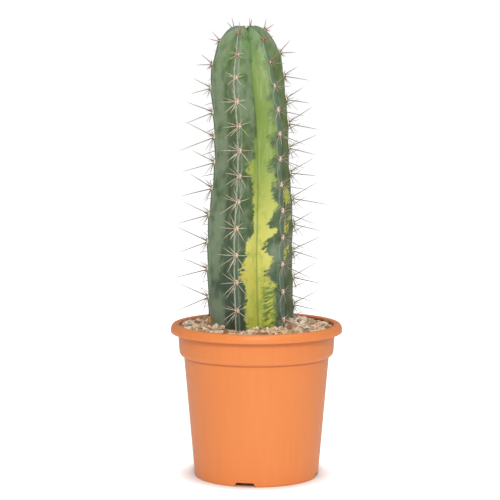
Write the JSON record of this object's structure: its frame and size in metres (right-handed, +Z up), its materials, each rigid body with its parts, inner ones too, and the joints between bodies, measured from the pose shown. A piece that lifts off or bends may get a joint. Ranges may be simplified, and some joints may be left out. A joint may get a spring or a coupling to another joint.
{
  "type": "potted tall cactus",
  "caption": "Tall ribbed columnar cactus with rows of spiny areoles, standing in gravel-topped soil in a round tapered plastic nursery pot.",
  "frame": {"origin": "centre of the pot's foot, on the surface that it stands on", "axes": "+Z up along the pot's axis; the front, with the yellow-striped face of the stem, faces -Y; +X to the right"},
  "size_m": [0.17, 0.17, 0.4538],
  "materials": {
    "pot_plastic": "satin",
    "potting_soil": "matte",
    "gravel": "matte",
    "cactus_skin": "satin",
    "spines": "satin",
    "dry_skin": "matte"
  },
  "bodies": {
    "root": {"pot": "pot_plastic", "potting_soil": "potting_soil", "gravel": "gravel", "cactus_stem": "cactus_skin", "spine_row_1": "spines", "spine_row_2": "spines", "spine_row_3": "spines", "spine_row_4": "spines", "spine_row_5": "spines", "spine_row_6": "spines", "dry_flake": "dry_skin"}
  },
  "joints": []
}
